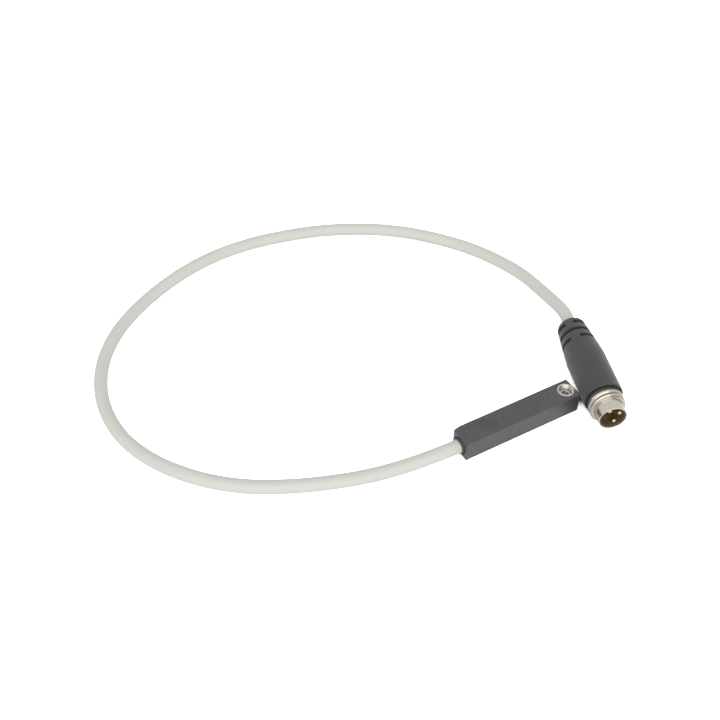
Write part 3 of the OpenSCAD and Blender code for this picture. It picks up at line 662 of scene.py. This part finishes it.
def makeWindow(top):
    bottom = top - window["depth"]
    outline = outlineOf([
        (window["pipeBottom"], 0), (window["pipeBottom"], window["pipeRadius"], window["edge"]),
        (bottom, window["pipeRadius"]), (bottom, window["radius"], window["edge"]),
        (top, window["radius"], window["rim"]), (top, 0)])
    return turnedPiece("indicatorLens", outline, headMatrix(window["x"]))


def makeCollar(cableEnd):
    back, front = cableEnd + collar["inside"], cableEnd - collar["out"]
    outline = outlineOf([
        (front, collar["bore"], collar["boreEdge"]), (front, collar["radius"], collar["edge"]),
        (back, collar["radius"]), (back, collar["bore"])], loop=True)
    return turnedPiece("cableCollar", outline, headMatrix(0, head["boreHeight"], lying=True))


def makeInsert(top):
    bottom = top - insert["length"]
    outline = outlineOf([
        (bottom, insert["bore"]), (bottom, insert["radius"] - insert["footChamfer"]),
        (bottom + insert["footChamfer"], insert["radius"], 0, knurl),
        (top - insert["rimHeight"], insert["radius"], 0, knurl),
        (top, insert["radius"] - insert["rimWidth"]),
        (top, insert["bore"] + insert["mouthWidth"], insert["mouthEdge"]),
        (top - insert["mouthHeight"], insert["bore"], 0, thread)], loop=True)
    return turnedPiece("knurledInsert", outline, headMatrix(screw["x"]), **{
        "Sides": 192, "Thread Pitch": screw["pitch"], "Thread Depth": insert["threadDepth"],
        "Knurl Count": insert["knurls"], "Knurl Depth": insert["knurlDepth"]})


def makeScrew():
    corner = screw["socketFlats"] / 2 / math.cos(math.pi / 6)
    bottom, top = screw["bottom"], screw["top"]
    floor = top - screw["socketDepth"]
    outline = outlineOf([
        (bottom, 0), (bottom, screw["tipRadius"], screw["edge"]),
        (bottom + screw["tipHeight"], screw["radius"], 0, thread),
        (top - screw["chamfer"], screw["radius"]), (top, screw["radius"] - screw["chamfer"], screw["edge"]),
        (top, corner + screw["socketChamfer"], screw["socketEdge"], hexagon),
        (top - screw["socketChamfer"], corner, 0, hexagon),
        (floor, corner, 0, hexagon), (floor - screw["socketPoint"], 0)])
    return turnedPiece("socketScrew", outline, headMatrix(screw["x"]), **{
        "Sides": 120, "Thread Pitch": screw["pitch"], "Thread Depth": screw["threadDepth"]})


# Plug, millimetres: heights run along its axis from the grip's rim to the open end
grip = {
    "length": 22.9, "frontRadius": 4.3, "noseRadius": 3.2, "noseLength": 0.9, "tipRadius": 2.2,
    "taperAt": 11.5, "taperPower": 1.15, "nosePower": 1.5, "bodySteps": 60, "noseSteps": 24,
    "rim": 0.25, "rimSteps": 8, "recessRadius": 4, "recessDepth": 0.4, "cableBore": 1.52,
    "slotRows": 3, "slotFirst": -20.9, "slotPitch": 2.48, "slotWidth": 0.75, "slotFloor": 2.1,
    "slotEdge": 0.1, "slotEnd": 0.15,  # over which the slots deepen, along and round the grip
    "bridge": 33,  # degrees that each of a row's two bridges takes
    "slotStep": 0.05,
    "mouldRear": 14.02, "mouldRearRadius": 2.62, "mouldFrontRadius": 3.17,
    "gap": 0.02,  # to the contact sleeve
}
sleeve = {
    "radius": 3.05, "bore": 2.85, "back": -2.4, "front": 5.85, "edge": 0.05, "mouthEdge": 0.08,
    "flangeRadius": 3.6, "flangeBack": -1.6, "flangeFront": -0.9,
    "beadRadius": 3.25, "beadBack": 2.13, "beadFront": 2.48, "beadFoot": 0.1,
}
ring = {
    "back": 1.13, "front": 3.1, "bore": 3.1, "flangeRadius": 3.9, "flange": 0.4,
    "threadRadius": 3.85, "pitch": 1.0, "threadDepth": 0.45, "chamfer": 0.15,
    "groove": 3.3, "grooveBack": 2.08, "grooveFront": 2.53,
    "backEdge": 0.04, "flangeEdge": 0.06, "frontEdge": 0.03, "mouthEdge": 0.05,
    "rootShadeFullAt": 3.42, "rootShadeGoneAt": 3.82,  # radii at which the painted shade in the thread's roots is full and gone
}
seal = {"radius": 3.47, "section": 0.4, "at": 0.61}
pin = {
    "circle": 1.75, "radius": 0.5, "back": -6, "front": 5.37, "tip": 0.3, "tailEdge": 0.1,
    "shoulderBack": -2.4, "shoulderFront": -0.8, "shoulderRadius": 0.65, "shoulderEdge": 0.05,
    "angles": {"contactPinOne": 180, "contactPinThree": 0, "contactPinFour": 90},
}


# Outer line of the grip, from its rounded nose over a taper and an even part to its rim
def gripLine():
    body = grip["length"] - grip["noseLength"]
    front, nose, tip = grip["frontRadius"], grip["noseRadius"], grip["tipRadius"]
    line = []
    for i in range(grip["noseSteps"], 0, -1):
        share = i / grip["noseSteps"]
        line.append((-body - grip["noseLength"] * share,
                     tip + (nose - tip) * math.sqrt(1 - share ** grip["nosePower"])))
    slotsEnd = grip["slotFirst"] + (grip["slotRows"] - 0.5) * grip["slotPitch"]
    heights = []
    height = -body
    while height < -grip["rim"]:
        heights.append(height)
        height += grip["slotStep"] if height < slotsEnd else body / grip["bodySteps"]
    start, power = grip["taperAt"], grip["taperPower"]
    line += [(h, front - (front - nose) * max(0, (-h - start) / (body - start)) ** power) for h in heights]
    for i in range(grip["rimSteps"] + 1):
        turn = math.pi / 2 * i / grip["rimSteps"]
        line.append((grip["rim"] * (math.sin(turn) - 1), front - grip["rim"] * (1 - math.cos(turn))))
    return line


def makeGrip():
    outer = [(radius, slotted, height) for height, radius in gripLine()]
    bore, gap = grip["cableBore"], grip["gap"]
    inner = [
        (0, grip["recessRadius"]), (-grip["recessDepth"], grip["recessRadius"]),
        (-grip["recessDepth"], sleeve["radius"] + gap),
        (sleeve["flangeFront"] + gap, sleeve["radius"] + gap),
        (sleeve["flangeFront"] + gap, sleeve["flangeRadius"] + gap),
        (sleeve["flangeBack"] - gap, sleeve["flangeRadius"] + gap),
        (sleeve["flangeBack"] - gap, sleeve["radius"] + gap),
        (sleeve["back"], grip["mouldFrontRadius"]), (-grip["mouldRear"], grip["mouldRearRadius"]),
        (-grip["mouldRear"], bore), (-grip["length"], bore),
    ]
    outline = outer + [(radius, plain, height) for height, radius in inner] + [outer[0]]
    return turnedPiece("plugOvermould", outline, onPlug, **{
        "Sides": 180, "Slot Rows": grip["slotRows"], "Slot First": grip["slotFirst"],
        "Slot Pitch": grip["slotPitch"], "Slot Width": grip["slotWidth"], "Slot Floor": grip["slotFloor"],
        "Slot Bridge": math.radians(grip["bridge"] / 2), "Slot Edge": grip["slotEdge"],
        "Slot End": grip["slotEnd"]})


def makeSleeve():
    outline = outlineOf([
        (sleeve["back"], sleeve["bore"]), (sleeve["back"], sleeve["radius"]),
        (sleeve["flangeBack"], sleeve["radius"]), (sleeve["flangeBack"], sleeve["flangeRadius"]),
        (sleeve["flangeFront"], sleeve["flangeRadius"]), (sleeve["flangeFront"], sleeve["radius"]),
        (sleeve["beadBack"], sleeve["radius"]), (sleeve["beadBack"], sleeve["beadRadius"], sleeve["edge"]),
        (sleeve["beadFront"], sleeve["radius"], sleeve["beadFoot"]),
        (sleeve["front"], sleeve["radius"], sleeve["mouthEdge"]),
        (sleeve["front"], sleeve["bore"], sleeve["edge"])], loop=True)
    return turnedPiece("contactTube", outline, onPlug, Sides=128)


def makeRing():
    back, front, crest = ring["back"], ring["front"], ring["threadRadius"]
    shoulder = back + ring["flange"]
    outline = outlineOf([
        (back, ring["bore"], ring["backEdge"]), (back, ring["flangeRadius"], ring["flangeEdge"]),
        (shoulder, ring["flangeRadius"], ring["flangeEdge"]), (shoulder, crest, 0, thread),
        (front - ring["chamfer"], crest), (front, crest - ring["chamfer"], ring["frontEdge"]),
        (front, ring["bore"], ring["mouthEdge"]), (ring["grooveFront"], ring["bore"]),
        (ring["grooveFront"], ring["groove"]), (ring["grooveBack"], ring["groove"]),
        (ring["grooveBack"], ring["bore"])], fineStep=0.03, loop=True)
    return turnedPiece("threadedRing", outline, onPlug, **{
        "Sides": 144, "Thread Pitch": ring["pitch"], "Thread Depth": ring["threadDepth"]})


def makeSeal():
    steps = 20
    outline = [
        (seal["radius"] + seal["section"] * math.cos(2 * math.pi * k / steps), plain,
         seal["at"] + seal["section"] * math.sin(2 * math.pi * k / steps))
        for k in range(steps + 1)
    ]
    return turnedPiece("sealWasher", outline, onPlug)


def makePin(name, angle):
    outline = outlineOf([
        (pin["back"], 0), (pin["back"], pin["radius"], pin["tailEdge"]),
        (pin["shoulderBack"], pin["radius"]),
        (pin["shoulderBack"], pin["shoulderRadius"], pin["shoulderEdge"]),
        (pin["shoulderFront"], pin["shoulderRadius"], pin["shoulderEdge"]),
        (pin["shoulderFront"], pin["radius"]), (pin["front"], pin["radius"], pin["tip"]),
        (pin["front"], 0)], arcSteps=6)
    across = Matrix.Rotation(math.radians(angle), 4, "Z") @ Matrix.Translation((pin["circle"], 0, 0))
    return turnedPiece(name, outline, onPlug @ across, Sides=32)


finishes = {
    "headMoulding": mouldedPolyester(),
    "indicatorLens": smokedPolycarbonate(),
    "cableCollar": plainStuff("mouldedCollar", "#4b4b47", "#5c5c57", 0.35, 1.5),
    "knurledInsert": platedMetal("nickelPlatedBrass", "#d2ccc2", "#e0dbd2", 0.3, headMatrix(screw["x"])),
    "socketScrew": platedMetal("zincPlatedSteel", "#dad6cf", "#e8e5df", 0.36, headMatrix(screw["x"])),
    "leadSheath": extrudedSheath(),
    "plugOvermould": mouldedPolyurethane(),
    "contactTube": platedMetal("drawnNickelPlate", "#d2cbc0", "#e2ddd4", 0.24, onPlug),
    "threadedRing": platedMetal("turnedNickelPlate", "#cdc6bd", "#ddd8d0", 0.22, onPlug, rootShade=(
        ring["back"] + ring["flange"], ring["front"] - ring["chamfer"], ring["rootShadeFullAt"], ring["rootShadeGoneAt"])),
    "sealWasher": plainStuff("nitrileRubber", "#3a3836", "#484643", 0.6, 1.2),
}
gold = platedMetal("hardGold", "#cdb988", "#e2d2a6", 0.24, onPlug)
for name in pin["angles"]:
    finishes[name] = gold

leadSheath.data.materials.append(finishes["leadSheath"])
headLow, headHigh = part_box("head_housing")
headTop, cableEnd = headHigh.z / mm, headLow.x / mm
pieces = {
    "headMoulding": (makeHead(), "root", "housing_plastic", ["head_housing"]),
    "indicatorLens": (makeWindow(headTop), "root", "window_plastic", ["indicator_window"]),
    "cableCollar": (makeCollar(cableEnd), "root", "bushing_plastic", ["cable_bushing"]),
    "knurledInsert": (makeInsert(headTop), "root", "plated_insert", ["threaded_insert"]),
    "socketScrew": (makeScrew(), "clamp_screw", "screw_steel", ["clamp_screw"]),
    "leadSheath": (leadSheath, "root", "cable_sheath", ["cable_jacket"]),
    "plugOvermould": (makeGrip(), "root", "grip_elastomer", ["plug_grip"]),
    "contactTube": (makeSleeve(), "root", "plated_sleeve", ["contact_sleeve"]),
    "threadedRing": (makeRing(), "coupling_ring", "plated_ring", ["coupling_ring"]),
    "sealWasher": (makeSeal(), "root", "seal_rubber", ["seal_ring"]),
}
for name, number in (("contactPinOne", 1), ("contactPinThree", 3), ("contactPinFour", 4)):
    made = makePin(name, pin["angles"][name])
    pieces[name] = (made, "root", "contact_gold", [f"contact_pin_{number}"])
print("pieces made:", len(pieces))

# Pieces that stay as the solids are, under the housing or deep in the plug
kept = {
    "contact_carrier": brownPolyamide(),
    "inner_mould": plainStuff("premouldPolyamide", "#2f2e2c", "#3b3a37", 0.55, 2),
    "potting": plainStuff("castEpoxy", "#33322c", "#44423a", 0.35, 1.5),
    "circuit_board": plainStuff("epoxyGlassBoard", "#27603b", "#347648", 0.4, 0.6),
    "indicator_led": plainStuff("clearEpoxyLed", "#e6d79c", "#f2e7ba", 0.2, 0.5),
    "magnetic_sensor_chip": plainStuff("mouldedEpoxyBlack", "#1e1e20", "#2c2c2f", 0.5, 0.3),
    "filter_capacitor": plainStuff("bariumTitanate", "#9c7647", "#b08a5c", 0.4, 0.3),
    "resistor_1": plainStuff("glazedAlumina", "#222226", "#34343a", 0.3, 0.3),
    "wire_brown": plainStuff("brownWireVinyl", "#5e3f27", "#76523a", 0.45, 0.8),
    "wire_blue": plainStuff("blueWireVinyl", "#27498f", "#375dab", 0.45, 0.8),
    "wire_black": plainStuff("blackWireVinyl", "#1d1d1f", "#2b2b2e", 0.45, 0.8),
}
kept["output_driver_chip"] = kept["protection_diode"] = kept["magnetic_sensor_chip"]
kept["resistor_2"] = kept["resistor_1"]
for name, material in kept.items():
    nodes[name].material_slots[0].material = material
for name, (piece, body, slotName, replaced) in pieces.items():
    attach(piece, body)
    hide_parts(*replaced)
print("finishes and bodies set")

# Stage: a pale floor, a soft lamp from the camera's side and an even sky
stage = {
    "floorSize": 6,
    "floorDrop": 0.02,  # in mm, below the head's underside, so that the two faces don't coincide
    "floorColour": "#f4f4f4",
    "floorExposed": 3.2,  # how far past its lit level the floor is seen, so that only deep shade shows
    "floorMirrored": 0.4,  # share of plain white in the floor that glossy surfaces mirror
    # Deep shade of the floor between the head's end and the plug: full and gone at these distances, in mm
    "crevicePlace": (17.2, 0, 0), "creviceDark": 0.5, "creviceClear": 2.6, "creviceColour": "#555555",
    # Shade at the plug's foot that the head's side mirrors: full and gone at these distances, in mm
    "footPlace": (16.8, -4.2, 0), "footDark": 1.3, "footClear": 6.5,
    "skyLight": 0.83,
    "skyMirrored": 0.76,  # the dimmer sky that glossy surfaces mirror
    "keyPlace": (-0.42, -0.76, 0.5), "keySize": 1.2, "keyPower": 5.5,
}


# The kinds of ray, and the share that looks at a surface straight or through something clear
def sightRays(tree):
    rays = addNode(tree, "ShaderNodeLightPath").outputs
    seen = addNode(tree, "ShaderNodeMath", {0: rays["Is Camera Ray"], 1: rays["Is Transmission Ray"]},
                   operation="MAXIMUM")
    return rays, seen


def makeStage():
    mesh = bpy.data.meshes.new("floor")
    half = stage["floorSize"] / 2
    mesh.from_pydata([(-half, -half, 0), (half, -half, 0), (half, half, 0), (-half, half, 0)], [],
                     [(0, 1, 2, 3)])
    floor = linkObject("floor", mesh)
    floor.location.z = -stage["floorDrop"] * mm
    material = bpy.data.materials.new("paleFloor")
    material.use_nodes = True
    tree = material.node_tree
    tree.nodes.clear()
    rays, seen = sightRays(tree)
    lit = hexColour(stage["floorColour"])
    exposed = [c * stage["floorExposed"] for c in lit[:3]] + [1]
    colour = addNode(tree, "ShaderNodeMix", {"Factor": seen, 6: lit, 7: exposed}, data_type="RGBA")
    where = addNode(tree, "ShaderNodeNewGeometry").outputs["Position"]
    crevice = addNode(tree, "ShaderNodeVectorMath",
                      {0: where, 1: [c * mm for c in stage["crevicePlace"]]}, operation="DISTANCE")
    deep = addNode(tree, "ShaderNodeMapRange",
                   {"Value": crevice.outputs["Value"], 1: stage["creviceDark"] * mm,
                    2: stage["creviceClear"] * mm, 3: 1, 4: 0}, interpolation_type="SMOOTHSTEP")
    shaded = addNode(tree, "ShaderNodeMix",
                     {"Factor": deep, 6: colour.outputs[2], 7: hexColour(stage["creviceColour"])},
                     data_type="RGBA")
    matt = addNode(tree, "ShaderNodeBsdfDiffuse", {"Color": shaded.outputs[2]})
    whiteShare = addNode(tree, "ShaderNodeMath", {0: rays["Is Glossy Ray"], 1: stage["floorMirrored"]},
                         operation="MULTIPLY")
    foot = addNode(tree, "ShaderNodeVectorMath",
                   {0: where, 1: [c * mm for c in stage["footPlace"]]}, operation="DISTANCE")
    footShade = addNode(tree, "ShaderNodeMapRange",
                        {"Value": foot.outputs["Value"], 1: stage["footDark"] * mm,
                         2: stage["footClear"] * mm, 3: 1, 4: 0})
    dim = addNode(tree, "ShaderNodeMath", {0: rays["Is Glossy Ray"], 1: footShade}, operation="MULTIPLY")
    black = addNode(tree, "ShaderNodeBsdfDiffuse", {"Color": (0, 0, 0, 1)})
    white = addNode(tree, "ShaderNodeEmission", {"Color": (1, 1, 1, 1), "Strength": 1})
    mixed = addNode(tree, "ShaderNodeMixShader", {0: whiteShare, 1: matt, 2: white})
    dimmed = addNode(tree, "ShaderNodeMixShader", {0: dim, 1: mixed, 2: black})
    addNode(tree, "ShaderNodeOutputMaterial", {"Surface": dimmed})
    mesh.materials.append(material)

    world = bpy.data.worlds.new("evenSky")
    bpy.context.scene.world = world
    world.use_nodes = True
    tree = world.node_tree
    tree.nodes.clear()
    rays, seen = sightRays(tree)
    unseen = addNode(tree, "ShaderNodeMix",
                     {"Factor": rays["Is Glossy Ray"], 2: stage["skyLight"], 3: stage["skyMirrored"]})
    strength = addNode(tree, "ShaderNodeMix", {"Factor": seen, 2: unseen, 3: 1})
    sky = addNode(tree, "ShaderNodeBackground", {"Color": (1, 1, 1, 1), "Strength": strength})
    addNode(tree, "ShaderNodeOutputWorld", {"Surface": sky})

    data = bpy.data.lights.new("keyLamp", "AREA")
    data.size, data.energy = stage["keySize"], stage["keyPower"]
    lamp = linkObject("keyLamp", data)
    lamp.location = stage["keyPlace"]
    lamp.rotation_euler = (-Vector(stage["keyPlace"])).to_track_quat("-Z", "Y").to_euler()


makeStage()
bpy.context.scene.view_settings.view_transform = "Standard"
print("stage set")
